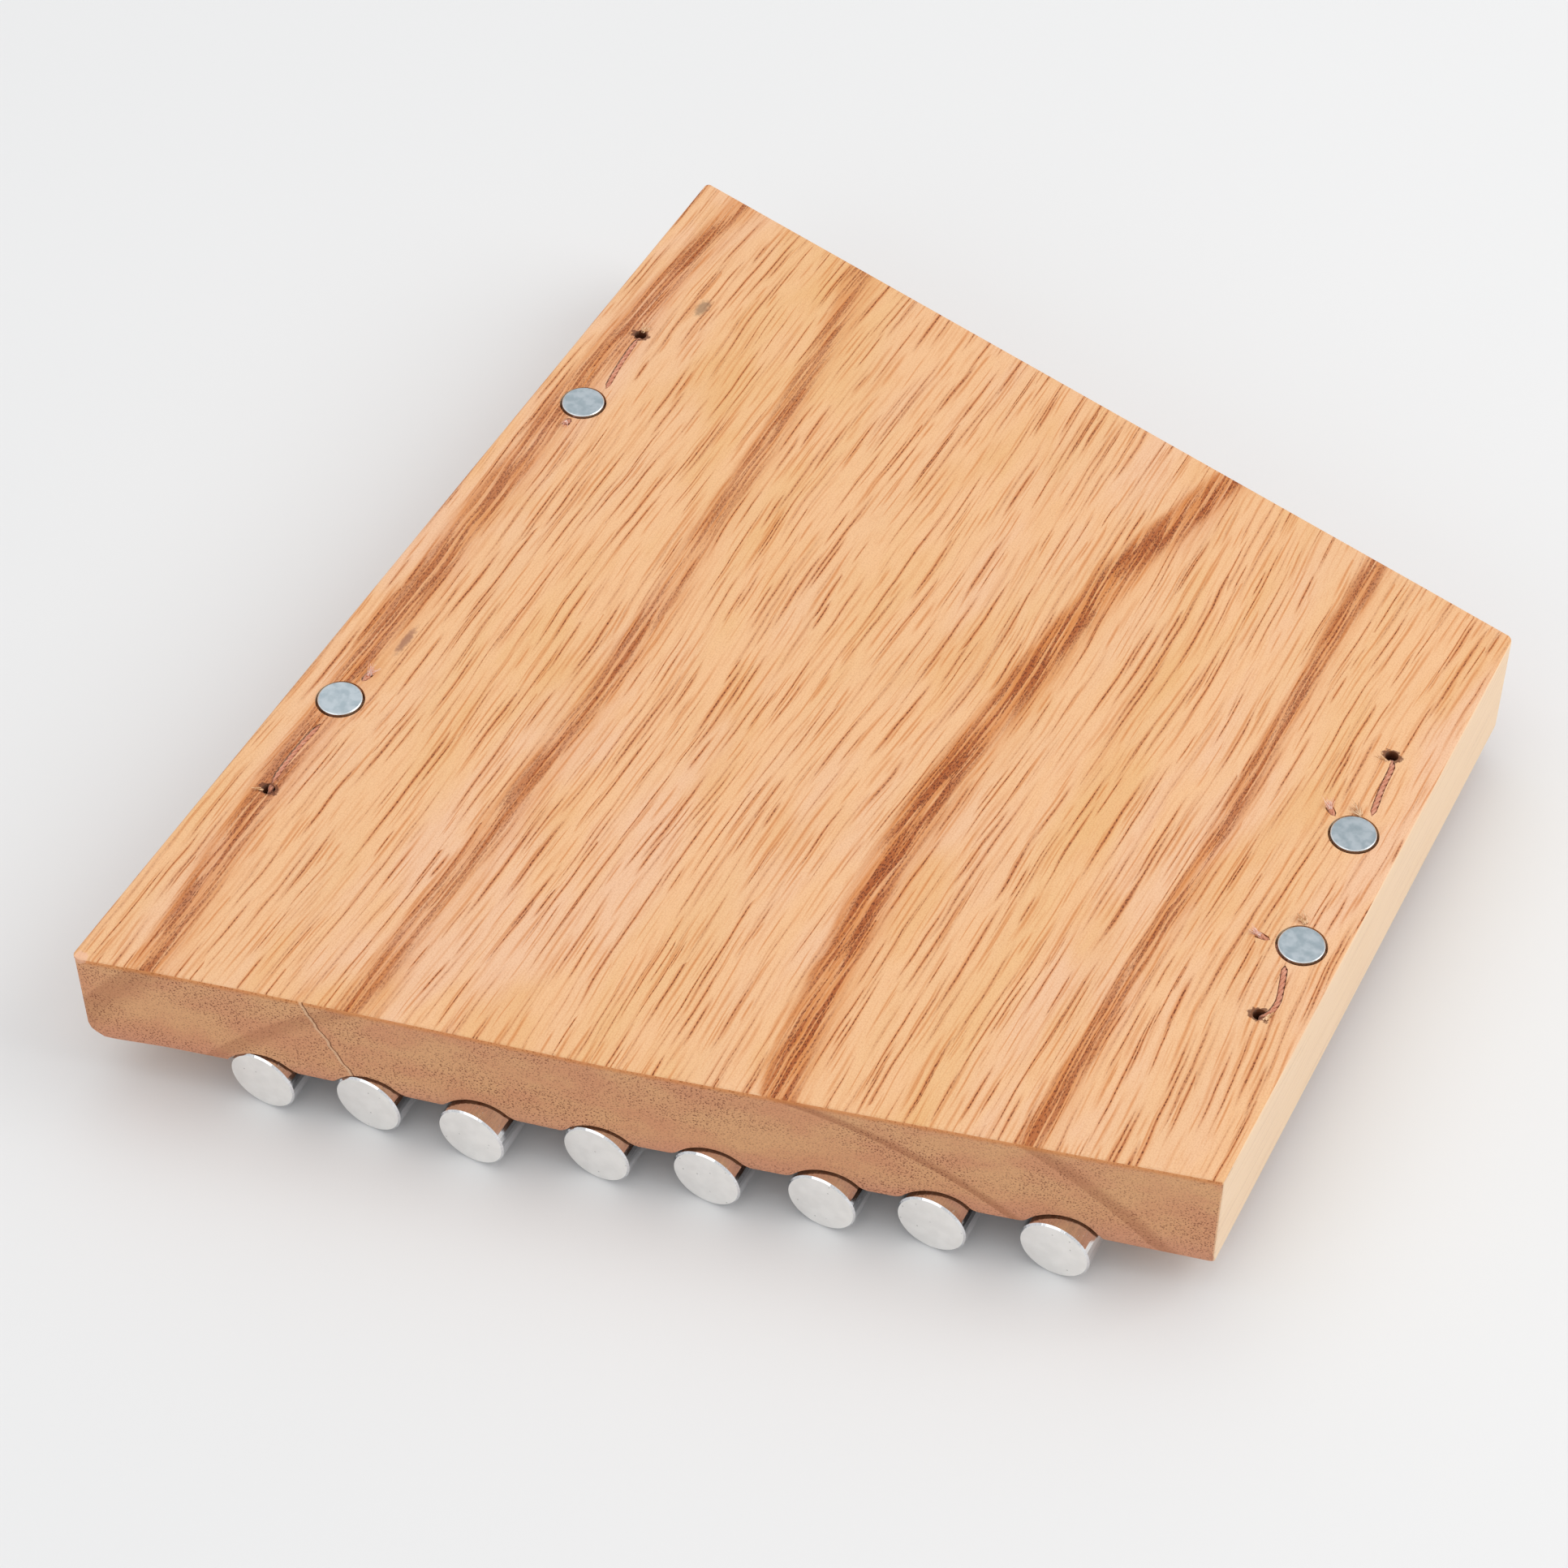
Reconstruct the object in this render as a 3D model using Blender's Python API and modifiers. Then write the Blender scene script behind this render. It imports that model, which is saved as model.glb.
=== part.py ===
"""Eight-rod chime block, lying on its rods with the back of the board up.

The rods run along Y, the low notes are at -X and the high notes at +X.  The
board is a symmetrical wedge: both of its ends slant towards the short side.
Lengths are in millimetres here and become metres in `metres`.
"""
import math

import bmesh
import bpy
from mathutils import Matrix, Vector

MM = 0.001

# Board
LONG_HALF = 89.5            # half the low-note side
BOARD_TOP = 23.8
MARGIN_PLANE = 5.9          # the grooved side, facing down, outside the outermost rods
RIDGE_PLANE = 7.5           # the ridges between the rods stop higher
TOP_ROUND = 0.5
EDGE_ROUND = 5.0            # the largest rounding of all
# Plan view, anticlockwise from the front corner on the low-note side:
# x, y, rounding of the upright corner, rounding of the lower edge that follows
OUTLINE = (
    (-75.0, -89.4, 1.9, 2.6),
    (-64.0, -86.5, 0.0, 3.4),
    (-50.7, -83.3, 0.0, 3.6),
    (-36.0, -80.0, 0.0, 3.4),
    (-2.0, -72.5, 0.0, 3.1),
    (55.5, -58.1, 0.0, 0.7),
    (75.0, -53.2, 0.5, 0.7),
    (73.9, 53.4, 1.3, 0.9),
    (55.5, 57.9, 0.0, 3.0),
    (-50.7, 83.6, 0.0, 2.4),
    (-75.0, 89.5, 1.2, 5.0),
)

# Rods: position across the board and near end
ROD_RADIUS = 5.0
ROD_Z = 5.0
ROD_CHAMFER = 0.25
RODS = (
    (-50.7, -83.6),
    (-36.0, -80.5),
    (-21.0, -78.9),
    (-4.8, -73.8),
    (10.0, -70.6),
    (25.2, -67.1),
    (39.5, -63.6),
    (55.5, -60.0),
)
ROD_HOLE_RADIUS = 1.0
GROOVE_RADIUS = 5.4
GROOVE_LIP = 1.5            # rounding of the ridges' long edges

# Cords and the nails that clamp them
CORD_RADIUS = 0.45
CORD_Z = 5.0                # height of the straight run through the rods
CORD_LAY = 23.4             # height where it lies in the back's channel
CORD_CLAMPED = 22.75        # height under a nail head
CORD_CLEAR = 0.15
CORD_HOLE_RADIUS = 0.95
HEAD_RADIUS = 3.15
HEAD_THICK = 0.6
HEAD_TOP = 24.1
SHANK_RADIUS = 1.0
SHANK_TIP = 10.0
SHANK_CLEAR = 0.3
RECESS_RADIUS = 3.5
RECESS_FLOOR = 22.0

# One anchor: board hole, surface run to the nail, way past the shank, tail
ANCHORS = {
    "low_near": {
        "hole": (-67.5, -51.9),
        "run": ((-67.9, -48.6), (-68.0, -44.0), (-67.7, -39.6)),
        "nail": (-67.6, -33.1),
        "past": ((-67.2, -36.2), (-66.0, -34.6), (-65.75, -32.9), (-66.1, -31.0)),
        "tail": ((-66.7, -29.0), (-66.5, -27.4)),
    },
    "high_near": {
        "hole": (68.4, -26.2),
        "run": ((69.5, -25.1), (69.7, -23.0), (69.1, -20.4), (68.4, -17.8)),
        "nail": (68.8, -12.9),
        "past": ((67.8, -15.9), (66.9, -14.9), (66.0, -14.3)),
        "tail": ((64.9, -13.9), (63.2, -13.8)),
    },
    "low_far": {
        "hole": (-66.9, 52.8),
        "run": ((-66.8, 50.0), (-66.5, 45.6), (-65.9, 41.0)),
        "nail": (-67.2, 35.5),
        "past": ((-65.4, 38.0), (-65.3, 35.6), (-65.8, 34.2), (-66.8, 33.2)),
        "tail": ((-67.2, 31.8), (-67.3, 30.7)),
    },
    "high_far": {
        "hole": (66.9, 24.2),
        "run": ((67.7, 22.2), (67.9, 18.0), (68.4, 13.7)),
        "nail": (67.6, 8.4),
        "past": ((68.5, 11.2), (67.4, 10.4), (66.0, 10.1)),
        "tail": ((64.3, 10.3), (63.1, 11.2)),
    },
}
CORDS = {
    "cord_near": ("low_near", "high_near"),
    "cord_far": ("low_far", "high_far"),
}

ROUND_STEPS = 44
GROOVE_STEPS = 14
LIP_STEPS = 4
HOLE_STEPS = 16
SMOOTH_STEPS = 3


def metres(point):
    return Vector(point) * MM


for old in list(bpy.data.objects):
    bpy.data.objects.remove(old, do_unlink=True)

part = bpy.data.collections.new("rod_chime_block")
bpy.context.scene.collection.children.link(part)
guides = bpy.data.collections.new("cutters")
bpy.context.scene.collection.children.link(guides)


def material(name, colour, roughness, metallic):
    made = bpy.data.materials.new(name)
    made.use_nodes = True
    shader = made.node_tree.nodes["Principled BSDF"]
    shader.inputs["Base Color"].default_value = (*colour, 1.0)
    shader.inputs["Roughness"].default_value = roughness
    shader.inputs["Metallic"].default_value = metallic
    return made


WOOD = material("wood", (0.66, 0.38, 0.18), 0.55, 0.0)
ALUMINIUM = material("aluminium", (0.80, 0.80, 0.80), 0.30, 1.0)
CORD = material("cord", (0.78, 0.42, 0.30), 0.85, 0.0)
ZINC = material("zinc", (0.46, 0.52, 0.57), 0.32, 1.0)


def add(name, mesh, collection, look=None):
    made = bpy.data.objects.new(name, mesh)
    collection.objects.link(made)
    if look is not None:
        mesh.materials.append(look)
    if collection is guides:
        made.hide_render = True
        made.display_type = "WIRE"
    return made


def smooth_round(mesh, degrees):
    for face in mesh.polygons:
        face.use_smooth = True
    mesh.set_sharp_from_angle(angle=math.radians(degrees))


def apply_modifiers(made):
    """Bake the modifiers into the object's own mesh."""
    graph = bpy.context.evaluated_depsgraph_get()
    baked = bpy.data.meshes.new_from_object(made.evaluated_get(graph))
    made.modifiers.clear()
    made.data = baked
    return baked


def weld(mesh):
    shape = bmesh.new()
    shape.from_mesh(mesh)
    bmesh.ops.remove_doubles(shape, verts=shape.verts, dist=0.000002)
    bmesh.ops.recalc_face_normals(shape, faces=shape.faces)
    shape.to_mesh(mesh)
    shape.free()


def turned(name, profile, steps, collection, look=None):
    """Turn a closed-ended profile of (radius, height) about Z."""
    mesh = bpy.data.meshes.new(name)
    points = [(radius * MM, 0.0, height * MM) for radius, height in profile]
    edges = [(i, i + 1) for i in range(len(points) - 1)]
    mesh.from_pydata(points, edges, [])
    made = add(name, mesh, collection)
    screw = made.modifiers.new("turn", "SCREW")
    screw.axis = "Z"
    screw.angle = math.radians(360.0)
    screw.steps = steps
    screw.render_steps = steps
    screw.use_merge_vertices = True
    screw.merge_threshold = 0.00001
    baked = apply_modifiers(made)
    weld(baked)
    if look is not None:
        baked.materials.append(look)
    return made


def slab(name, outline, thickness, collection, look=None):
    """A flat outline in X and Y with straight sides, from z = 0 up."""
    curve = bpy.data.curves.new(name, "CURVE")
    curve.dimensions = "2D"
    curve.fill_mode = "BOTH"
    curve.extrude = thickness / 2 * MM
    spline = curve.splines.new("POLY")
    spline.points.add(len(outline) - 1)
    for point, (x, y) in zip(spline.points, outline):
        point.co = (x * MM, y * MM, 0.0, 1.0)
    spline.use_cyclic_u = True
    drawn = bpy.data.objects.new(name + "_outline", curve)
    guides.objects.link(drawn)
    graph = bpy.context.evaluated_depsgraph_get()
    mesh = bpy.data.meshes.new_from_object(drawn.evaluated_get(graph))
    mesh.name = name
    bpy.data.objects.remove(drawn, do_unlink=True)
    weld(mesh)
    shape = bmesh.new()
    shape.from_mesh(mesh)
    flat = math.radians(0.1)
    bmesh.ops.dissolve_limit(shape, angle_limit=flat, verts=shape.verts, edges=shape.edges)
    shape.to_mesh(mesh)
    shape.free()
    mesh.transform(Matrix.Translation((0.0, 0.0, thickness / 2 * MM)))
    mesh.materials.clear()
    return add(name, mesh, collection, look)


def place(made, matrix):
    """Move the mesh itself, so the object keeps a plain transform."""
    made.data.transform(matrix)
    made.data.update()


def cut(made, cutter):
    step = made.modifiers.new(cutter.name, "BOOLEAN")
    step.operation = "DIFFERENCE"
    step.solver = "EXACT"
    step.object = cutter


def smooth_path(points):
    """Round a polyline: every corner becomes a short chain of points."""
    points = [Vector(point) for point in points]
    padded = [points[0] * 2 - points[1], *points, points[-1] * 2 - points[-2]]
    path = []
    for i in range(1, len(padded) - 2):
        before, start, end, after = padded[i - 1:i + 3]
        for step in range(SMOOTH_STEPS):
            t = step / SMOOTH_STEPS
            path.append(0.5 * (
                2 * start
                + (end - before) * t
                + (2 * before - 5 * start + 4 * end - after) * t * t
                + (3 * start - before - 3 * end + after) * t * t * t
            ))
    path.append(points[-1])
    return path


def tube(name, path, radius, collection, look=None):
    curve = bpy.data.curves.new(name, "CURVE")
    curve.dimensions = "3D"
    curve.bevel_depth = radius * MM
    curve.bevel_resolution = 2
    curve.use_fill_caps = True
    spline = curve.splines.new("POLY")
    spline.points.add(len(path) - 1)
    for point, place_at in zip(spline.points, path):
        point.co = (*metres(place_at), 1.0)
    made = bpy.data.objects.new(name + "_curve", curve)
    guides.objects.link(made)
    graph = bpy.context.evaluated_depsgraph_get()
    mesh = bpy.data.meshes.new_from_object(made.evaluated_get(graph))
    mesh.name = name
    bpy.data.objects.remove(made, do_unlink=True)
    weld(mesh)
    mesh.materials.clear()
    return add(name, mesh, collection, look)


def cord_line(cord, x):
    """Y of a cord's straight run at x."""
    low, high = (ANCHORS[name]["hole"] for name in CORDS[cord])
    return low[1] + (high[1] - low[1]) * (x - low[0]) / (high[0] - low[0])


def surface_route(anchor):
    """From just inside the board hole's mouth to the cord's loose tail."""
    hole = Vector(anchor["hole"])
    way = (Vector(anchor["run"][0]) - hole).normalized()
    route = [(*hole, 20.6)]
    for along, height in ((0.12, 22.2), (0.65, 23.1)):
        route.append((*(hole + way * along), height))
    route += [(x, y, CORD_LAY) for x, y in anchor["run"]]
    route += [(x, y, CORD_CLAMPED) for x, y in anchor["past"]]
    near, end = anchor["tail"]
    route.append((*near, 23.1))
    route.append((*end, 23.75))
    return route


def underside_route(anchor, other):
    """From inside the board hole to the start of the straight run."""
    hole = Vector(anchor["hole"])
    way = (Vector(other["hole"]) - hole).normalized()
    route = [(*hole, 12.0), (*hole, 8.4), (*hole, 6.7)]
    for along, height in ((0.35, 5.6), (1.15, CORD_Z + 0.08), (2.4, CORD_Z)):
        route.append((*(hole + way * along), height))
    return route


# Board blank
board = slab("board", [row[:2] for row in OUTLINE], BOARD_TOP - MARGIN_PLANE, part, WOOD)
place(board, Matrix.Translation(metres((0.0, 0.0, MARGIN_PLANE))))
blank = bmesh.new()
blank.from_mesh(board.data)
shares = blank.edges.layers.float.new("bevel_weight_edge")
corners = [Vector(row[:2]) * MM for row in OUTLINE]
middle = (MARGIN_PLANE + BOARD_TOP) / 2 * MM
for edge in blank.edges:
    places = []
    for vert in edge.verts:
        here = vert.co.xy
        places.append(min(range(len(corners)), key=lambda i: (corners[i] - here).length))
    if places[0] == places[1]:
        rounding = OUTLINE[places[0]][2]
    elif edge.verts[0].co.z > middle:
        rounding = TOP_ROUND
    else:
        first, last = sorted(places)
        rounding = OUTLINE[last if last - first > 1 else first][3]
    edge[shares] = rounding / EDGE_ROUND
blank.to_mesh(board.data)
blank.free()
soften = board.modifiers.new("soften", "BEVEL")
soften.limit_method = "WEIGHT"
soften.width = EDGE_ROUND * MM
soften.segments = 4
soften.use_clamp_overlap = False


def groove_half(plane):
    """Half of a groove's section, from its lip at a plane up to its crown."""
    drop = plane + GROOVE_LIP - ROD_Z
    reach = math.sqrt((GROOVE_RADIUS + GROOVE_LIP) ** 2 - drop ** 2)
    meet = math.atan2(drop, reach)
    half = [(reach + 0.1, ROD_Z - 3.0), (reach + 0.1, plane - 0.02)]
    for step in range(1, LIP_STEPS + 1):
        turn = math.radians(90.0) - (math.radians(90.0) - meet) * step / LIP_STEPS
        x = reach - GROOVE_LIP * math.cos(turn)
        half.append((x, plane + GROOVE_LIP * (1.0 - math.sin(turn))))
    for step in range(1, GROOVE_STEPS):
        turn = meet + (math.radians(90.0) - meet) * step / GROOVE_STEPS
        half.append((GROOVE_RADIUS * math.cos(turn), ROD_Z + GROOVE_RADIUS * math.sin(turn)))
    return half


# Grooves, one along each rod, and the ridges between them trimmed
stand = Matrix.Rotation(math.radians(90.0), 4, "X")
length = 2 * LONG_HALF + 8.0
for number, (rod_x, _) in enumerate(RODS, start=1):
    low_side = groove_half(MARGIN_PLANE if number == 1 else RIDGE_PLANE)
    high_side = groove_half(MARGIN_PLANE if number == len(RODS) else RIDGE_PLANE)
    crown = [(0.0, ROD_Z + GROOVE_RADIUS)]
    outline = high_side + crown + [(-x, z) for x, z in reversed(low_side)]
    groove = slab("groove_%d" % number, outline, length, guides)
    place(groove, Matrix.Translation(metres((rod_x, length / 2, 0.0))) @ stand)
    cut(board, groove)
first, last = RODS[0][0], RODS[-1][0]
trimming = [(first, 0.0), (last, 0.0), (last, RIDGE_PLANE), (first, RIDGE_PLANE)]
trim = slab("ridge_trim", trimming, length, guides)
place(trim, Matrix.Translation(metres((0.0, length / 2, 0.0))) @ stand)
cut(board, trim)
apply_modifiers(board)
weld(board.data)

# Holes, recesses and channels for the cords and nails
for name, anchor in ANCHORS.items():
    drill = [(0.0, BOARD_TOP + 1.0), (CORD_HOLE_RADIUS, BOARD_TOP + 1.0)]
    drill += [(CORD_HOLE_RADIUS, MARGIN_PLANE - 1.0), (0.0, MARGIN_PLANE - 1.0)]
    hole = turned("hole_" + name, drill, HOLE_STEPS, guides)
    place(hole, Matrix.Translation(metres((*anchor["hole"], 0.0))))
    cut(board, hole)
    shank_hole = SHANK_RADIUS + SHANK_CLEAR
    step = [
        (0.0, BOARD_TOP + 1.0),
        (RECESS_RADIUS, BOARD_TOP + 1.0),
        (RECESS_RADIUS, RECESS_FLOOR),
        (shank_hole, RECESS_FLOOR),
        (shank_hole, SHANK_TIP - 0.5),
        (0.0, SHANK_TIP - 0.5),
    ]
    recess = turned("recess_" + name, step, ROUND_STEPS, guides)
    place(recess, Matrix.Translation(metres((*anchor["nail"], 0.0))))
    cut(board, recess)
    route = smooth_path(surface_route(anchor))
    away = (route[-1] - route[-2]).normalized() * 0.5
    channel = tube("channel_" + name, route + [route[-1] + away], CORD_RADIUS + CORD_CLEAR, guides)
    cut(board, channel)

apply_modifiers(board)
weld(board.data)
smooth_round(board.data, 32.0)

# Rods, cross-drilled where the cords pass
for number, (rod_x, near_end) in enumerate(RODS, start=1):
    centre = sum(cord_line(cord, rod_x) for cord in CORDS) / 2
    length = 2 * (centre - near_end)
    top = length / 2
    profile = [
        (0.0, top),
        (ROD_RADIUS - ROD_CHAMFER, top),
        (ROD_RADIUS, top - ROD_CHAMFER),
        (ROD_RADIUS, ROD_CHAMFER - top),
        (ROD_RADIUS - ROD_CHAMFER, -top),
        (0.0, -top),
    ]
    rod = turned("rod_%d" % number, profile, ROUND_STEPS, part, ALUMINIUM)
    place(rod, Matrix.Rotation(math.radians(90.0), 4, "X"))
    rod.location = metres((rod_x, centre, ROD_Z))
    bpy.context.view_layer.update()
    for cord, (low, high) in CORDS.items():
        run = Vector(ANCHORS[high]["hole"]) - Vector(ANCHORS[low]["hole"])
        reach = ROD_RADIUS + 2.0
        drill = [(0.0, reach), (ROD_HOLE_RADIUS, reach), (ROD_HOLE_RADIUS, -reach), (0.0, -reach)]
        bore = turned("bore_%s_%d" % (cord, number), drill, HOLE_STEPS, guides)
        turn = Matrix.Rotation(math.atan2(run.y, run.x), 4, "Z")
        lay = Matrix.Rotation(math.radians(90.0), 4, "Y")
        where = Matrix.Translation(metres((rod_x, cord_line(cord, rod_x), ROD_Z)))
        place(bore, where @ turn @ lay)
        cut(rod, bore)
    apply_modifiers(rod)
    weld(rod.data)
    smooth_round(rod.data, 30.0)

# Cords, whole from tail to tail
for cord, (low, high) in CORDS.items():
    low, high = ANCHORS[low], ANCHORS[high]
    first = list(reversed(surface_route(low))) + underside_route(low, high)
    second = list(reversed(underside_route(high, low))) + surface_route(high)
    route = smooth_path(first) + smooth_path(second)
    strand = tube(cord, route, CORD_RADIUS, part, CORD)
    smooth_round(strand.data, 50.0)

# Nails
for name, anchor in ANCHORS.items():
    soft = 0.12
    profile = [
        (0.0, HEAD_TOP),
        (HEAD_RADIUS - soft, HEAD_TOP),
        (HEAD_RADIUS, HEAD_TOP - soft),
        (HEAD_RADIUS, HEAD_TOP - HEAD_THICK),
        (SHANK_RADIUS, HEAD_TOP - HEAD_THICK),
        (SHANK_RADIUS, SHANK_TIP + 2.0),
        (0.0, SHANK_TIP),
    ]
    nail = turned("nail_" + name, profile, ROUND_STEPS, part, ZINC)
    nail.location = metres((*anchor["nail"], 0.0))
    smooth_round(nail.data, 30.0)
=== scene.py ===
import math
import random

import bpy
from mathutils import Matrix, Vector


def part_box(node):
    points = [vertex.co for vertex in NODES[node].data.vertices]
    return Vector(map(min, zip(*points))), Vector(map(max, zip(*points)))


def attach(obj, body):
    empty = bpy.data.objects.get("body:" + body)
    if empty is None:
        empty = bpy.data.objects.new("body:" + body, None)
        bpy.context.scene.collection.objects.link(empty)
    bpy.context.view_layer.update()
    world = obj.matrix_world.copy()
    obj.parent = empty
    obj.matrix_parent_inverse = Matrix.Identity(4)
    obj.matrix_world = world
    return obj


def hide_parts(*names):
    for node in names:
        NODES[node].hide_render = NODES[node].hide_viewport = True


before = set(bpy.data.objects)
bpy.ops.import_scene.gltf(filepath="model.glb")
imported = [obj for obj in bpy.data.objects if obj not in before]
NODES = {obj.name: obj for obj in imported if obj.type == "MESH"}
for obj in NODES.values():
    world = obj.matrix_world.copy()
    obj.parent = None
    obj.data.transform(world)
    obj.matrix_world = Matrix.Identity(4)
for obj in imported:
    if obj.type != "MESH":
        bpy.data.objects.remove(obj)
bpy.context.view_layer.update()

MM = 0.001
RODS = ["rod_%d" % n for n in range(1, 9)]
NAILS = ["nail_low_near", "nail_high_near", "nail_low_far", "nail_high_far"]
BOARD_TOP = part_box("board")[1].z / MM
random.seed(8)

# ---------------------------------------------------------------- cord routes

# The route of each cord in millimetres, as the CAD model has it: board hole,
# surface run to the nail, way past the shank, tail.
CORD_Z = 5.0
CORD_LAY = 23.4
CORD_CLAMPED = 22.75
ANCHORS = {
    "low_near": {
        "hole": (-67.5, -51.9),
        "run": ((-67.9, -48.6), (-68.0, -44.0), (-67.7, -39.6)),
        "past": ((-67.2, -36.2), (-66.0, -34.6), (-65.75, -32.9), (-66.1, -31.0)),
        "tail": ((-66.7, -29.0), (-66.5, -27.4)),
    },
    "high_near": {
        "hole": (68.4, -26.2),
        "run": ((69.5, -25.1), (69.7, -23.0), (69.1, -20.4), (68.4, -17.8)),
        "past": ((67.8, -15.9), (66.9, -14.9), (66.0, -14.3)),
        "tail": ((64.9, -13.9), (63.2, -13.8)),
    },
    "low_far": {
        "hole": (-66.9, 52.8),
        "run": ((-66.8, 50.0), (-66.5, 45.6), (-65.9, 41.0)),
        "past": ((-65.4, 38.0), (-65.3, 35.6), (-65.8, 34.2), (-66.8, 33.2)),
        "tail": ((-67.2, 31.8), (-67.3, 30.7)),
    },
    "high_far": {
        "hole": (66.9, 24.2),
        "run": ((67.7, 22.2), (67.9, 18.0), (68.4, 13.7)),
        "past": ((68.5, 11.2), (67.4, 10.4), (66.0, 10.1)),
        "tail": ((64.3, 10.3), (63.1, 11.2)),
    },
}
CORDS = {
    "cord_near": ("low_near", "high_near"),
    "cord_far": ("low_far", "high_far"),
}

# ---------------------------------------------------------------- camera

camera_data = bpy.data.cameras.new("camera")
camera_data.sensor_width = 36.0
camera_data.lens = 91.3
camera_data.clip_start = 0.05
camera_data.clip_end = 20.0
camera = bpy.data.objects.new("camera", camera_data)
right = Vector((0.887940, 0.459955, -0.002002))
down = Vector((0.341394, -0.661962, -0.667275))
view = Vector((-0.308241, 0.591817, -0.744809))
turn = Matrix((right, -down, -view)).transposed()
camera.matrix_world = Matrix.Translation(Vector((162.756, -341.225, 429.606)) * MM) @ turn.to_4x4()
bpy.context.scene.collection.objects.link(camera)
bpy.context.scene.camera = camera
bpy.context.scene.view_settings.view_transform = "Standard"

# ---------------------------------------------------------------- node graphs


class Graph:
    """Short names for the shader nodes that the materials are built from."""

    def __init__(self, name):
        self.material = bpy.data.materials.new(name)
        self.material.use_nodes = True
        self.tree = self.material.node_tree
        self.shader = self.tree.nodes["Principled BSDF"]

    def node(self, kind, inputs=None, **settings):
        made = self.tree.nodes.new(kind)
        for key, value in settings.items():
            setattr(made, key, value)
        for key, value in (inputs or {}).items():
            self.feed(made.inputs[key], value)
        return made

    def feed(self, socket, value):
        if isinstance(value, bpy.types.NodeSocket):
            self.tree.links.new(value, socket)
        else:
            socket.default_value = value

    def math(self, operation, a, b=0.0, c=0.0):
        made = self.node("ShaderNodeMath", operation=operation)
        for socket, value in zip(made.inputs, (a, b, c)):
            self.feed(socket, value)
        return made.outputs[0]

    def add(self, a, b):
        return self.math("ADD", a, b)

    def sub(self, a, b):
        return self.math("SUBTRACT", a, b)

    def mul(self, a, b):
        return self.math("MULTIPLY", a, b)

    def top(self, a, b):
        return self.math("MAXIMUM", a, b)

    def size(self, a):
        return self.math("ABSOLUTE", a)

    def ramp(self, value, low, high, start=0.0, end=1.0):
        """Smooth step of value from low to high."""
        made = self.node("ShaderNodeMapRange", interpolation_type="SMOOTHSTEP")
        for key, number in zip(
            ("Value", "From Min", "From Max", "To Min", "To Max"), (value, low, high, start, end)
        ):
            self.feed(made.inputs[key], number)
        return made.outputs[0]

    def blend(self, factor, a, b):
        """Number a where factor is 0, b where it is 1."""
        return self.add(a, self.mul(factor, self.sub(b, a)))

    def mix(self, factor, a, b, blend="MIX"):
        made = self.node("ShaderNodeMix", data_type="RGBA", blend_type=blend)
        self.feed(made.inputs[0], factor)
        for socket, value in zip((made.inputs[6], made.inputs[7]), (a, b)):
            if isinstance(value, tuple):
                value = (*value, 1.0)
            self.feed(socket, value)
        return made.outputs[2]

    def position(self):
        """Place on the object in millimetres, as separate X, Y and Z."""
        here = self.node("ShaderNodeTexCoord").outputs["Object"]
        scaled = self.node("ShaderNodeVectorMath", {0: here}, operation="SCALE")
        scaled.inputs["Scale"].default_value = 1000.0
        split = self.node("ShaderNodeSeparateXYZ", {0: scaled.outputs[0]})
        return split.outputs

    def vector(self, x, y, z=0.0):
        return self.node("ShaderNodeCombineXYZ", {0: x, 1: y, 2: z}).outputs[0]

    def noise(self, vector, scale=1.0, detail=2.0, roughness=0.5):
        made = self.node("ShaderNodeTexNoise", {"Vector": vector})
        made.inputs["Scale"].default_value = scale
        made.inputs["Detail"].default_value = detail
        made.inputs["Roughness"].default_value = roughness
        return made.outputs["Fac"]

    def sway(self, vector, reach, detail=2.0):
        """Noise about zero, up to about half of reach either way."""
        return self.mul(self.sub(self.noise(vector, detail=detail), 0.5), reach)

    def cells(self, vector):
        """Random cells in a plane: distance to the nearest centre, three random numbers, that centre."""
        made = self.node("ShaderNodeTexVoronoi", {"Vector": vector}, voronoi_dimensions="2D")
        made.inputs["Scale"].default_value = 1.0
        split = self.node("ShaderNodeSeparateColor", {0: made.outputs["Color"]})
        centre = self.node("ShaderNodeSeparateXYZ", {0: made.outputs["Position"]})
        return made.outputs["Distance"], split.outputs, centre.outputs

    def normal_part(self, axis):
        """The surface normal's part along X, Y or Z (0, 1 or 2)."""
        normal = self.node("ShaderNodeNewGeometry").outputs["Normal"]
        split = self.node("ShaderNodeSeparateXYZ", {0: normal})
        return split.outputs[axis]

    def bump(self, height, distance, strength=1.0):
        made = self.node("ShaderNodeBump", {"Height": height})
        made.inputs["Distance"].default_value = distance
        made.inputs["Strength"].default_value = strength
        return made.outputs[0]

    def finish(self, colour=None, roughness=None, normal=None, **constants):
        for key, value in (("Base Color", colour), ("Roughness", roughness), ("Normal", normal)):
            if isinstance(value, tuple):
                value = (*value, 1.0)
            if value is not None:
                self.feed(self.shader.inputs[key], value)
        for key, value in constants.items():
            self.shader.inputs[key.replace("_", " ")].default_value = value
        return self.material


def dress(obj, material):
    obj.data.materials.clear()
    obj.data.materials.append(material)


# ---------------------------------------------------------------- wood

# The growth rings are arcs about a pith line below the board, along Y.
PITH_X = 3.0
PITH_Z = -45.0
TOP_REACH = BOARD_TOP - PITH_Z

# Late-wood bands: place across the back at y = middle, middle, bend, half width, strength
BANDS = (
    (13.9, -15.0, 0.0017, 3.3, 1.0),
    (50.9, 0.0, 0.0, 1.9, 0.80),
    (-36.6, -30.0, -0.0005, 2.5, 0.62),
    (-69.8, 20.0, 0.0004, 2.9, 0.75),
)

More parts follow.
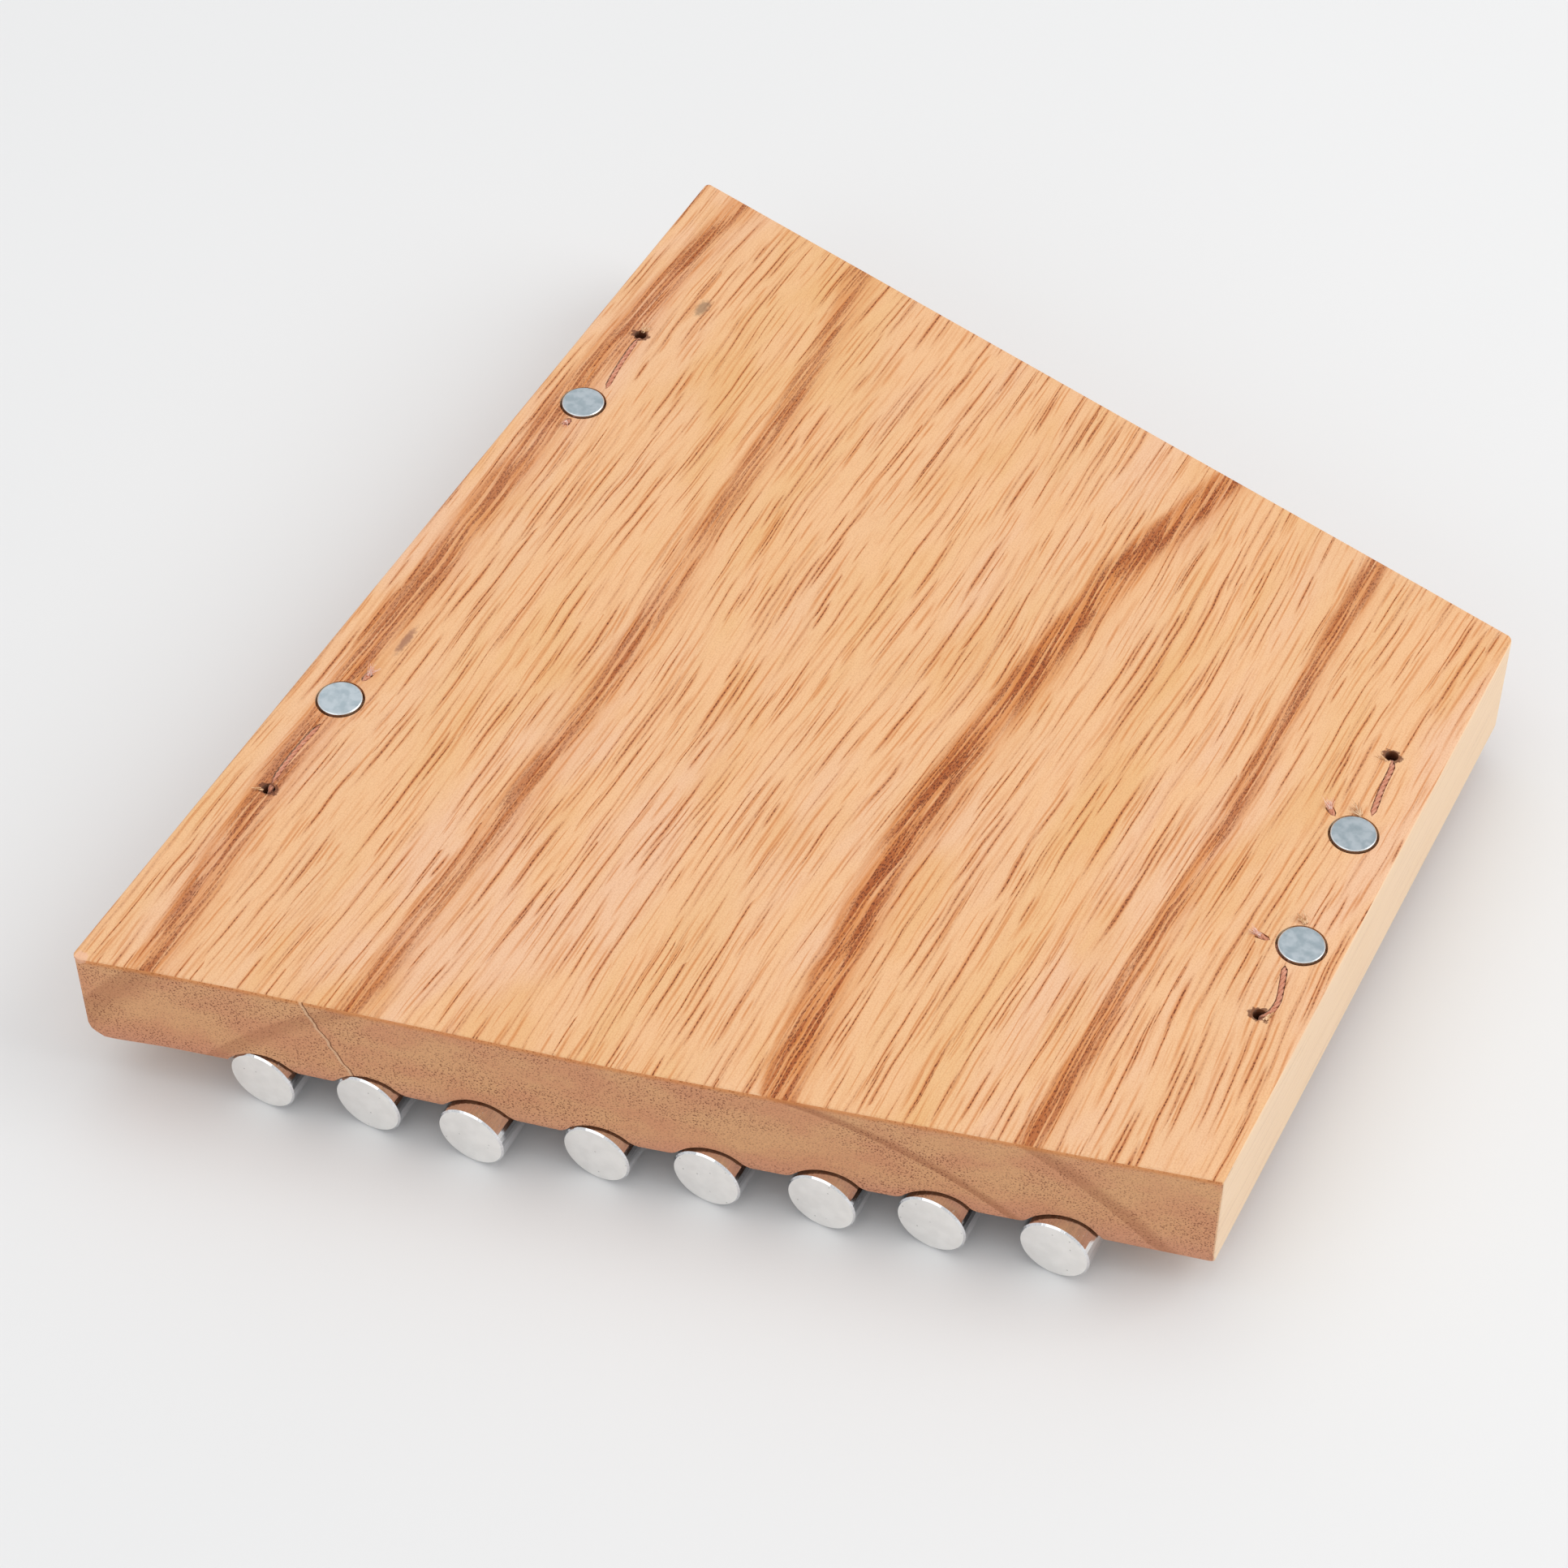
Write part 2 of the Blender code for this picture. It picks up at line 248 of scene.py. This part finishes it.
# Layers of vessel lines: seed, spacing across, length of a cell, half width, darkness inside
LINE_LAYERS = (
    (0.0, 2.4, 26.0, 0.14, 1.0),
    (31.0, 3.1, 17.0, 0.12, 1.0),
    (77.0, 4.3, 40.0, 0.16, 1.0),
    (123.0, 1.5, 24.0, 0.10, 0.20),
    (191.0, 1.1, 14.0, 0.07, 0.20),
)

PALE = (0.815, 0.490, 0.262)
ROSY = (0.810, 0.505, 0.315)
STRAW = (0.790, 0.475, 0.230)
HALO = (0.620, 0.215, 0.050)
BAND = (0.600, 0.205, 0.048)
CORE = (0.340, 0.075, 0.014)
BEAD = (0.120, 0.022, 0.006)
OCHRE = (0.720, 0.385, 0.130)
END_PINK = (0.670, 0.315, 0.165)
END_PORE = (0.200, 0.062, 0.028)
TORN_PINK = (0.800, 0.480, 0.340)
# the high-note side's colour: paler sapwood together with painted light
CREAM_SAPWOOD_AND_LIGHT = (0.880, 0.690, 0.490)
END_TAN = (0.720, 0.385, 0.190)
END_LOW = (0.640, 0.290, 0.190)
END_RING = (0.400, 0.155, 0.070)
# the crack's colours: a painted highlight on its lip, painted shade in its gap
CRACK_LIP_HIGHLIGHT = (0.80, 0.56, 0.36)
CRACK_GAP_SHADE = (0.16, 0.060, 0.025)
# painted shade in the grooves and on the underside
GROOVE_SHADE = (0.330, 0.115, 0.055)
# painted shade inside the cord holes
HOLE_SHADE = (0.060, 0.018, 0.008)
MOUTH_BROWN = (0.130, 0.040, 0.018)
SMUDGE = (0.170, 0.105, 0.065)
BRUISE = (0.250, 0.095, 0.060)

# Marks in millimetres
MOUTH_SIZE = (1.45, 1.15)
CHIP_X = -73.6
CHIP_Y = -88.4
SMUDGE_AT, SMUDGE_SIZE = (-61.4, 62.6), (0.9, 1.7)
BRUISE_AT, BRUISE_SIZE = (-65.3, -19.1), (0.55, 2.6)
GROOVES_MIDDLE = 2.4
GROOVES_HALF = 58.3


def growth_bands(g, x, y, z):
    """Late-wood masks: the soft wash of each band, and the dense core inside it."""
    dx = g.sub(x, PITH_X)
    dz = g.sub(z, PITH_Z)
    square = g.add(g.mul(dx, dx), g.mul(dz, dz))
    reach = g.math("SQRT", g.top(g.sub(square, TOP_REACH * TOP_REACH), 0.0))
    across = g.add(g.mul(g.math("SIGN", dx), reach), PITH_X)
    across = g.add(across, g.sway(g.vector(g.mul(across, 0.05), g.mul(y, 0.020)), 5.0, 3.0))
    across = g.add(across, g.sway(g.vector(g.mul(across, 0.5), g.mul(y, 0.045)), 1.6))
    wash = None
    core = None
    for place, middle, bend, width, strength in BANDS:
        off = g.sub(y, middle)
        away = g.sub(across, g.add(g.mul(g.mul(off, off), bend), place))
        # sharp on the low-note side, fading out on the other
        sharp = g.ramp(away, -width, -width * 0.55)
        fade = g.ramp(away, width * 0.2, width * 1.9, 1.0, 0.0)
        band = g.mul(g.mul(sharp, fade), strength)
        heart = g.mul(g.ramp(g.size(g.sub(away, width * 0.1)), width * 0.25, width, 1.0, 0.0), strength)
        wash = band if wash is None else g.top(wash, band)
        core = heart if core is None else g.top(core, heart)
    return wash, core


def lines(g, u, y, seed, pitch, length):
    """One line along the grain in each cell: distance from it in mm, taper to its ends, random numbers."""
    place = g.add(g.mul(u, 1.0 / pitch), seed)
    row = g.mul(y, 1.0 / length)
    _, pick, centre = g.cells(g.vector(place, row))
    off = g.mul(g.size(g.sub(place, centre[0])), pitch)
    reach = g.add(g.mul(pick[0], 0.35), 0.18)
    taper = g.ramp(g.math("DIVIDE", g.size(g.sub(row, centre[1])), reach), 0.25, 1.0, 1.0, 0.0)
    return off, taper, pick


def end_dots(g, x, z, pitch, seed, width):
    distance, pick, _ = g.cells(g.vector(g.add(g.mul(x, 1.0 / pitch), seed), g.mul(z, 1.0 / pitch)))
    reach = g.add(g.mul(pick[0], width * 0.8), width * 0.5)
    dot = g.ramp(g.sub(reach, distance), -0.05, 0.10)
    return g.mul(dot, g.ramp(pick[1], 0.1, 0.9, 0.2, 1.0))


def spot(g, x, y, centre, size, soft=0.5):
    """A ragged round mark on the back."""
    dx = g.mul(g.sub(x, centre[0]), 1.0 / size[0])
    dy = g.mul(g.sub(y, centre[1]), 1.0 / size[1])
    away = g.math("SQRT", g.add(g.mul(dx, dx), g.mul(dy, dy)))
    ragged = g.sway(g.vector(g.mul(x, 1.5), g.mul(y, 1.5)), 1.4, 3.0)
    return g.ramp(g.add(away, ragged), 1.0 - soft, 1.0 + soft, 1.0, 0.0)


def wood_material():
    g = Graph("wood_block")
    x, y, z = g.position()
    end = g.ramp(g.size(g.normal_part(1)), 0.66, 0.80)
    side = g.ramp(g.size(g.normal_part(0)), 0.66, 0.80)
    right_side_sapwood_and_light = g.ramp(g.normal_part(0), 0.60, 0.90)
    wash, core = growth_bands(g, x, y, z)

    # the direction across the grain: X on the faces, Z on the sides
    u = g.blend(side, x, g.add(z, 37.0))
    drift = g.sway(g.vector(g.mul(u, 0.025), g.mul(y, 0.011)), 8.0, 1.0)
    u = g.add(u, drift)
    u = g.add(u, g.sway(g.vector(g.mul(u, 0.20), g.mul(y, 0.055)), 1.1))

    # slow changes of colour, then fine fibres
    broad = g.noise(g.vector(g.mul(u, 0.050), g.mul(y, 0.008), 3.0), detail=2.0)
    mottle = g.noise(g.vector(g.mul(u, 0.16), g.mul(y, 0.05), g.mul(z, 0.1)), detail=3.0)
    fibre = g.noise(g.vector(g.mul(u, 4.2), g.mul(y, 0.22), g.mul(z, 4.2)), detail=3.0, roughness=0.6)
    tooth = g.noise(g.vector(g.mul(x, 5.5), g.mul(y, 3.6), g.mul(z, 5.5)), detail=2.0, roughness=0.7)
    base = g.mix(g.ramp(broad, 0.38, 0.62), STRAW, ROSY)
    base = g.mix(g.ramp(mottle, 0.35, 0.65), base, PALE)
    patch = g.noise(g.vector(g.mul(u, 0.075), g.mul(y, 0.030), 21.0), detail=3.0)
    base = g.mix(g.mul(g.ramp(patch, 0.52, 0.68), 0.34), base, OCHRE)
    base = g.mix(g.mul(g.ramp(fibre, 0.45, 0.80), 0.30), base, HALO)
    base = g.mix(g.mul(g.ramp(tooth, 0.30, 0.58, 1.0, 0.0), 0.20), base, CORE)

    # orange lines between the bands, each with a dark vessel inside it
    streak = g.noise(g.vector(g.mul(u, 2.3), g.mul(y, 0.060), 5.0), detail=3.0, roughness=0.65)
    grainy = g.mul(g.ramp(fibre, 0.25, 0.65, 0.72, 1.0), g.ramp(streak, 0.36, 0.60, 0.45, 1.0))
    colour = g.mix(g.mul(g.mul(wash, grainy), 0.92), base, BAND)
    beads, bead_pick, _ = g.cells(g.vector(g.mul(u, 4.6), g.mul(y, 1.7)))
    bead = g.ramp(beads, 0.20, 0.48, 1.0, 0.0)
    bead = g.mul(bead, g.ramp(bead_pick[0], 0.10, 0.55))
    vessel = None
    halo = None
    for seed, pitch, length, width, dark in LINE_LAYERS:
        off, taper, pick = lines(g, u, y, seed, pitch, length)
        strength = g.mul(taper, g.ramp(pick[1], 0.05, 0.85, 0.25, 1.0))
        thick = g.mul(g.add(g.mul(pick[2], 0.9), 0.55), width)
        inner = g.mul(g.ramp(g.math("DIVIDE", off, thick), 0.35, 1.0, 1.0, 0.0), strength)
        outer = g.mul(g.ramp(g.math("DIVIDE", off, thick), 0.6, 3.0, 1.0, 0.0), strength)
        inner = g.mul(inner, dark)
        vessel = inner if vessel is None else g.top(vessel, inner)
        halo = outer if halo is None else g.top(halo, outer)
    colour = g.mix(g.mul(halo, 0.60), colour, HALO)
    colour = g.mix(g.mul(vessel, 0.72), colour, CORE)
    colour = g.mix(g.mul(g.mul(vessel, bead), 0.88), colour, BEAD)

    # inside the bands the vessels lie in dense rows
    rows = g.noise(g.vector(g.mul(u, 1.9), g.mul(y, 0.050), 9.0), detail=2.0)
    in_band = g.mul(g.mul(core, bead), g.ramp(rows, 0.40, 0.54))
    colour = g.mix(g.mul(g.mul(core, g.ramp(rows, 0.44, 0.56)), 0.85), colour, CORE)
    colour = g.mix(g.mul(in_band, 0.80), colour, BEAD)

    # end grain: pinker, with open pores, and the rings as arcs
    stain = g.noise(g.vector(g.mul(x, 0.10), g.mul(z, 0.16), 40.0), detail=3.0)
    ends = g.mix(g.ramp(stain, 0.35, 0.65), END_PINK, END_TAN)
    low = g.ramp(z, 7.0, 12.5, 1.0, 0.0)
    ends = g.mix(g.mul(low, 0.6), ends, END_LOW)
    ends = g.mix(g.mul(wash, 0.62), ends, END_RING)
    ends = g.mix(g.mul(g.ramp(tooth, 0.30, 0.60, 1.0, 0.0), 0.20), ends, END_PORE)
    pore = end_dots(g, x, z, 0.38, 0.0, 0.27)
    pore = g.top(pore, end_dots(g, x, z, 0.55, 13.0, 0.22))
    thick = g.noise(g.vector(g.mul(x, 0.07), g.mul(z, 0.12), 70.0), detail=2.0)
    pore = g.mul(pore, g.ramp(thick, 0.35, 0.62, 0.40, 1.0))
    ends = g.mix(g.mul(pore, 0.85), ends, END_PORE)
    arris = g.ramp(g.add(z, g.sway(g.vector(g.mul(x, 0.6), 0.0), 0.8)), BOARD_TOP - 1.1, BOARD_TOP - 0.3)
    ends = g.mix(g.mul(arris, 0.55), ends, HALO)
    # a hairline crack in the front, drawn with painted shade in its gap and a painted highlight on its lip
    bent = g.sway(g.vector(0.0, g.mul(z, 0.5)), 1.1, 2.0)
    crack = g.sub(g.add(x, bent), g.sub(-33.3, g.mul(z, 0.44)))
    inside = g.mul(g.ramp(z, 9.6, 10.4), g.ramp(y, -70.0, -75.0))
    gap = g.mul(g.ramp(g.size(crack), 0.02, 0.13, 1.0, 0.0), inside)
    lip_highlight = g.mul(g.ramp(g.size(g.sub(crack, -0.32)), 0.05, 0.30, 1.0, 0.0), inside)
    ends = g.mix(g.mul(lip_highlight, 0.55), ends, CRACK_LIP_HIGHLIGHT)
    ends = g.mix(g.mul(gap, 0.9), ends, CRACK_GAP_SHADE)
    colour = g.mix(end, colour, ends)

    # the high-note side is the palest: partly its paler sapwood, partly painted light falling from the
    # right
    colour = g.mix(g.mul(right_side_sapwood_and_light, 0.78), colour, CREAM_SAPWOOD_AND_LIGHT)

    # painted shade darkens the grooves and the underside; the low-note corner is chipped
    groove_shade = g.mul(g.ramp(z, 10.6, 11.3, 1.0, 0.0), g.sub(1.0, end))
    from_middle = g.size(g.sub(x, GROOVES_MIDDLE))
    between = g.ramp(from_middle, GROOVES_HALF, GROOVES_HALF + 0.7, 1.0, 0.0)
    groove_shade = g.mul(groove_shade, between)
    colour = g.mix(g.mul(groove_shade, 0.80), colour, GROOVE_SHADE)
    chip_x = g.sub(x, CHIP_X)
    chip_y = g.sub(y, CHIP_Y)
    chip_z = g.mul(g.sub(z, BOARD_TOP), 0.8)
    chip = g.add(g.mul(chip_x, chip_x), g.mul(chip_y, chip_y))
    chip = g.math("SQRT", g.add(chip, g.mul(chip_z, chip_z)))
    chip = g.add(chip, g.sway(g.vector(g.mul(x, 1.7), g.mul(z, 1.7)), 1.2, 3.0))
    colour = g.mix(g.mul(g.ramp(chip, 0.7, 1.1, 1.0, 0.0), 0.60), colour, TORN_PINK)

    # painted shade darkens the inside of the cord holes, which have ragged lips
    for anchor in ANCHORS.values():
        hole = anchor["hole"]
        dx = g.math("POWER", g.sub(x, hole[0]), 2.0)
        dy = g.math("POWER", g.sub(y, hole[1]), 2.0)
        in_hole = g.ramp(g.math("SQRT", g.add(dx, dy)), 1.05, 1.30, 1.0, 0.0)
        below = g.ramp(z, BOARD_TOP - 0.9, BOARD_TOP - 0.1, 1.0, 0.0)
        colour = g.mix(g.mul(g.mul(in_hole, below), 0.92), colour, HOLE_SHADE)
        mouth = spot(g, x, y, hole, MOUTH_SIZE, 0.12)
        colour = g.mix(g.mul(mouth, 0.85), colour, MOUTH_BROWN)

    # small marks on the back
    smudge = spot(g, x, y, SMUDGE_AT, SMUDGE_SIZE)
    colour = g.mix(g.mul(smudge, 0.62), colour, SMUDGE)
    bruise = spot(g, x, y, BRUISE_AT, BRUISE_SIZE)
    colour = g.mix(g.mul(bruise, 0.70), colour, BRUISE)

    rough = g.add(g.mul(fibre, 0.16), 0.46)
    rough = g.add(rough, g.mul(end, 0.16))
    pits = g.blend(end, g.mul(g.top(vessel, in_band), bead), g.top(pore, g.mul(gap, 2.0)))
    height = g.sub(g.add(g.mul(fibre, 0.22), g.mul(tooth, 0.10)), pits)
    normal = g.bump(height, 0.00009, 0.6)
    return g.finish(colour, rough, normal, Specular_IOR_Level=0.22)


# ---------------------------------------------------------------- metals


def rod_material():
    g = Graph("drawn_aluminium")
    x, y, z = g.position()
    end = g.ramp(g.size(g.normal_part(1)), 0.90, 0.99)
    draw = g.noise(g.vector(g.mul(x, 5.0), g.mul(y, 0.03), g.mul(z, 5.0)), detail=3.0)
    scuff = g.noise(g.vector(g.mul(x, 2.2), g.mul(y, 0.9), g.mul(z, 2.2)), detail=4.0, roughness=0.7)
    cloud = g.noise(g.vector(g.mul(x, 0.5), g.mul(y, 0.2), g.mul(z, 0.5)), detail=3.0)
    pit, pick, _ = g.cells(g.vector(g.mul(x, 0.45), g.mul(z, 0.45)))
    side = g.mix(g.ramp(draw, 0.35, 0.7), (0.76, 0.77, 0.79), (0.88, 0.88, 0.89))
    face = g.mix(g.ramp(cloud, 0.3, 0.7), (0.90, 0.89, 0.87), (0.95, 0.94, 0.92))
    speck = g.mul(g.ramp(pit, 0.03, 0.07, 1.0, 0.0), g.ramp(pick[0], 0.6, 0.9))
    face = g.mix(g.mul(speck, 0.5), face, (0.35, 0.34, 0.33))
    colour = g.mix(end, side, face)
    rough = g.add(g.add(g.mul(draw, 0.10), 0.08), g.mul(g.ramp(scuff, 0.55, 0.75), 0.25))
    rough = g.blend(end, rough, g.add(g.mul(cloud, 0.10), 0.52))
    height = g.add(g.mul(draw, 0.4), g.mul(scuff, 0.3))
    normal = g.bump(height, 0.00003, 0.35)
    return g.finish(colour, rough, normal, Metallic=1.0)


def zinc_material():
    g = Graph("zinc_plate")
    x, y, z = g.position()
    bloom = g.noise(g.vector(g.mul(x, 0.7), g.mul(y, 0.7), g.mul(z, 0.7)), detail=4.0)
    grain = g.noise(g.vector(g.mul(x, 6.0), g.mul(y, 6.0), g.mul(z, 6.0)), detail=2.0)
    # the head's rim, where it stops facing up, is painted lighter: a painted highlight
    side = g.ramp(g.normal_part(2), 0.75, 0.97, 1.0, 0.0)
    colour = g.mix(g.ramp(bloom, 0.35, 0.65), (0.37, 0.44, 0.48), (0.50, 0.56, 0.60))
    colour = g.mix(side, colour, (0.80, 0.84, 0.86))
    rough = g.add(g.mul(bloom, 0.16), 0.24)
    height = g.add(g.mul(bloom, 0.8), g.mul(grain, 0.12))
    normal = g.bump(height, 0.00010, 0.30)
    return g.finish(colour, rough, normal, Metallic=1.0)


dress(NODES["board"], wood_material())
METAL = rod_material()
for name in RODS:
    dress(NODES[name], METAL)
ZINC = zinc_material()
for name in NAILS:
    dress(NODES[name], ZINC)

# ---------------------------------------------------------------- cords

PLIES = 3
PLY_RADIUS = 0.225
PLY_ORBIT = 0.225
LAY_LENGTH = 3.3            # one whole turn of the twist
PLY_STEP = 0.22             # between the points along a ply


def surface_route(anchor):
    """From just inside the board hole's mouth to the cord's loose tail."""
    hole = Vector(anchor["hole"])
    way = (Vector(anchor["run"][0]) - hole).normalized()
    route = [(*hole, 20.6)]
    for along, height in ((0.12, 22.2), (0.65, 23.1)):
        route.append((*(hole + way * along), height))
    route += [(x, y, CORD_LAY) for x, y in anchor["run"]]
    route += [(x, y, CORD_CLAMPED) for x, y in anchor["past"]]
    near, end = anchor["tail"]
    route.append((*near, 23.1))
    route.append((*end, 23.75))
    return route


def underside_route(anchor, other):
    """From inside the board hole to the start of the straight run."""
    hole = Vector(anchor["hole"])
    way = (Vector(other["hole"]) - hole).normalized()
    route = [(*hole, 12.0), (*hole, 8.4), (*hole, 6.7)]
    for along, height in ((0.35, 5.6), (1.15, CORD_Z + 0.08), (2.4, CORD_Z)):
        route.append((*(hole + way * along), height))
    return route


def smooth_path(points, steps=3):
    """Round a polyline: every corner becomes a short chain of points."""
    points = [Vector(point) for point in points]
    padded = [points[0] * 2 - points[1], *points, points[-1] * 2 - points[-2]]
    path = []
    for i in range(1, len(padded) - 2):
        before, start, end, after = padded[i - 1:i + 3]
        for step in range(steps):
            t = step / steps
            path.append(0.5 * (
                2 * start
                + (end - before) * t
                + (2 * before - 5 * start + 4 * end - after) * t * t
                + (3 * start - before - 3 * end + after) * t * t * t
            ))
    path.append(points[-1])
    return path


def even_steps(path, step):
    """The same line, with points at a steady distance, and each point's direction."""
    places = []
    carry = 0.0
    for start, end in zip(path, path[1:]):
        span = (end - start).length
        while carry <= span:
            places.append(start.lerp(end, carry / span))
            carry += step
        carry -= span
    ways = []
    for i in range(len(places)):
        ways.append((places[min(i + 1, len(places) - 1)] - places[max(i - 1, 0)]).normalized())
    return places, ways


def carried_frames(ways):
    """A sideways direction at each point, turned as little as possible from the last."""
    aside = ways[0].orthogonal().normalized()
    frames = []
    for way in ways:
        aside = (aside - way * aside.dot(way)).normalized()
        frames.append((aside, way.cross(aside)))
    return frames


def strands(name, lines, sides=2):
    """One curve object of round strands; a line is (points, radii), in millimetres."""
    curve = bpy.data.curves.new(name, "CURVE")
    curve.dimensions = "3D"
    curve.bevel_depth = MM
    curve.bevel_resolution = sides
    curve.use_fill_caps = True
    for points, radii in lines:
        spline = curve.splines.new("POLY")
        spline.points.add(len(points) - 1)
        for spot_at, point, radius in zip(spline.points, points, radii):
            spot_at.co = (*(point * MM), 1.0)
            spot_at.radius = radius
    made = bpy.data.objects.new(name, curve)
    bpy.context.scene.collection.objects.link(made)
    return made


def twisted(name, path):
    """Three plies laid round each other along the path."""
    places, ways = even_steps(path, PLY_STEP)
    frames = carried_frames(ways)
    lines = []
    for ply in range(PLIES):
        points = []
        radii = []
        for i, (place, (aside, up)) in enumerate(zip(places, frames)):
            turn_at = math.tau * (ply / PLIES + i * PLY_STEP / LAY_LENGTH)
            points.append(place + (aside * math.cos(turn_at) + up * math.sin(turn_at)) * PLY_ORBIT)
            radii.append(PLY_RADIUS)
        lines.append((points, radii))
    return strands(name, lines)


def cord_material():
    g = Graph("salmon_twine")
    x, y, z = g.position()
    fuzz = g.noise(g.vector(g.mul(x, 9.0), g.mul(y, 9.0), g.mul(z, 9.0)), detail=3.0, roughness=0.65)
    slow = g.noise(g.vector(g.mul(x, 0.9), g.mul(y, 0.9), g.mul(z, 0.9)), detail=2.0)
    colour = g.mix(g.ramp(fuzz, 0.35, 0.70), (0.50, 0.170, 0.090), (0.78, 0.370, 0.235))
    colour = g.mix(g.mul(g.ramp(slow, 0.45, 0.7), 0.35), colour, (0.82, 0.480, 0.340))
    normal = g.bump(fuzz, 0.00010, 0.6)
    return g.finish(colour, 0.80, normal, Specular_IOR_Level=0.2, Sheen_Weight=0.25)


def fray_material():
    g = Graph("frayed_ends")
    x, y, z = g.position()
    shade = g.noise(g.vector(g.mul(x, 2.0), g.mul(y, 2.0), g.mul(z, 2.0)), detail=2.0)
    colour = g.mix(g.ramp(shade, 0.35, 0.65), (0.84, 0.44, 0.32), (0.90, 0.70, 0.62))
    return g.finish(colour, 0.85, None, Specular_IOR_Level=0.2)


def splinter_material():
    g = Graph("torn_wood")
    x, y, z = g.position()
    shade = g.noise(g.vector(g.mul(x, 2.5), g.mul(y, 1.2), g.mul(z, 2.5)), detail=3.0)
    colour = g.mix(g.ramp(shade, 0.35, 0.65), (0.62, 0.33, 0.15), (0.86, 0.60, 0.38))
    normal = g.bump(shade, 0.00006, 0.4)
    return g.finish(colour, 0.7, normal, Specular_IOR_Level=0.3)


def bristles(name, root, way, spread, count, length, radius, material):
    """A tuft of fine tapering hairs that grow from one place."""
    way = Vector(way).normalized()
    lines = []
    for _ in range(count):
        aim = way + Vector([random.uniform(-spread, spread) for _ in range(3)])
        aim.z = max(aim.z, -0.15)
        aim.normalize()
        curl = Vector([random.uniform(-0.5, 0.5) for _ in range(3)])
        reach = length * random.uniform(0.45, 1.0)
        start = Vector(root) + Vector([random.uniform(-0.22, 0.22) for _ in range(3)])
        points = []
        radii = []
        for step in range(6):
            t = step / 5
            point = start + aim * reach * t + curl * reach * t * t * 0.5
            point.z = max(point.z, BOARD_TOP + 0.03 if t > 0.3 else point.z)
            points.append(point)
            radii.append(radius * (1.0 - 0.75 * t))
        lines.append((points, radii))
    made = strands(name, lines, 1)
    dress(made, material)
    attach(made, "block")
    return made


TWINE = cord_material()
FRAY = fray_material()
TORN = splinter_material()
for cord, (low, high) in CORDS.items():
    low, high = ANCHORS[low], ANCHORS[high]
    first = list(reversed(surface_route(low))) + underside_route(low, high)
    second = list(reversed(underside_route(high, low))) + surface_route(high)
    piece = twisted(cord + "_twine", smooth_path(first) + smooth_path(second))
    dress(piece, TWINE)
    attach(piece, "block")
    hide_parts(cord)

# frayed ends: the way the hairs fan out from each tail, how many and how long
FRAYS = {
    "low_near": ((0.15, 1.0, 0.55), 0.42, 34, 1.9),
    "high_near": ((-1.0, 0.15, 0.35), 0.40, 26, 1.8),
    "low_far": ((-0.2, -1.0, 0.15), 0.50, 24, 1.0),
    "high_far": ((-0.65, 0.8, 0.65), 0.50, 36, 1.9),
}
FRAY_HEIGHT = 23.85
FRAY_RADIUS = 0.055
for name, (way, spread, count, length) in FRAYS.items():
    root = (*ANCHORS[name]["tail"][1], FRAY_HEIGHT)
    bristles("fray_" + name, root, way, spread, count, length, FRAY_RADIUS, FRAY)

# torn fibres: where they root, the way they point, spread, how many, length, thickness
SPLINTERS = {
    "splinters_hole_low_near": ((-68.3, -52.4, 23.75), (-1.0, -0.3, 0.25), 0.35, 9, 1.4, 0.09),
    "splinters_hole_high_near": ((69.3, -26.6, 23.75), (0.3, 1.0, 0.15), 0.30, 10, 1.9, 0.13),
    "splinters_hole_low_far": ((-66.9, 53.7, 23.75), (0.1, 1.0, 0.30), 0.55, 20, 1.6, 0.08),
    "splinters_hole_high_far": ((66.6, 23.0, 23.75), (-0.9, 0.3, 0.25), 0.35, 10, 1.7, 0.12),
    "splinters_head_high_near": ((67.9, -9.2, 23.80), (-0.9, 0.6, 0.40), 0.50, 22, 2.0, 0.13),
    "splinters_head_high_far": ((67.2, 12.1, 23.80), (-0.9, 0.5, 0.40), 0.55, 24, 2.1, 0.13),
}
for name, (root, way, spread, count, length, radius) in SPLINTERS.items():
    bristles(name, root, way, spread, count, length, radius, TORN)

# ---------------------------------------------------------------- stage

floor_mesh = bpy.data.meshes.new("floor")
REACH = 4.0
floor_mesh.from_pydata(
    [(-REACH, -REACH, 0.0), (REACH, -REACH, 0.0), (REACH, REACH, 0.0), (-REACH, REACH, 0.0)],
    [],
    [(0, 1, 2, 3)],
)
floor = bpy.data.objects.new("floor", floor_mesh)
bpy.context.scene.collection.objects.link(floor)
paper = Graph("paper")
px, py, _ = paper.position()
mottle = paper.noise(paper.vector(paper.mul(px, 0.01), paper.mul(py, 0.01), 0.0), detail=2.0)
dress(floor, paper.finish(paper.mix(mottle, (0.750, 0.755, 0.757), (0.768, 0.770, 0.772)), 0.75))

world = bpy.data.worlds.new("studio")
bpy.context.scene.world = world
world.use_nodes = True
world.node_tree.nodes["Background"].inputs["Color"].default_value = (0.985, 0.99, 1.0, 1.0)
world.node_tree.nodes["Background"].inputs["Strength"].default_value = 0.75


def lamp(name, where, size, power, colour=(1.0, 1.0, 1.0), target=(0.0, 0.0, 0.01)):
    data = bpy.data.lights.new(name, "AREA")
    data.shape = "RECTANGLE"
    data.size, data.size_y = size
    data.energy = power
    data.color = colour
    made = bpy.data.objects.new(name, data)
    made.location = where
    look = Vector(target) - Vector(where)
    made.rotation_euler = look.to_track_quat("-Z", "Y").to_euler()
    bpy.context.scene.collection.objects.link(made)


lamp("key", (0.75, 0.35, 0.75), (0.8, 0.8), 4.5, (1.0, 0.985, 0.96))
lamp("top", (-0.25, 0.1, 1.1), (1.2, 1.2), 3.0)
lamp("front_fill", (-0.3, -1.0, 0.55), (0.9, 0.6), 1.2)
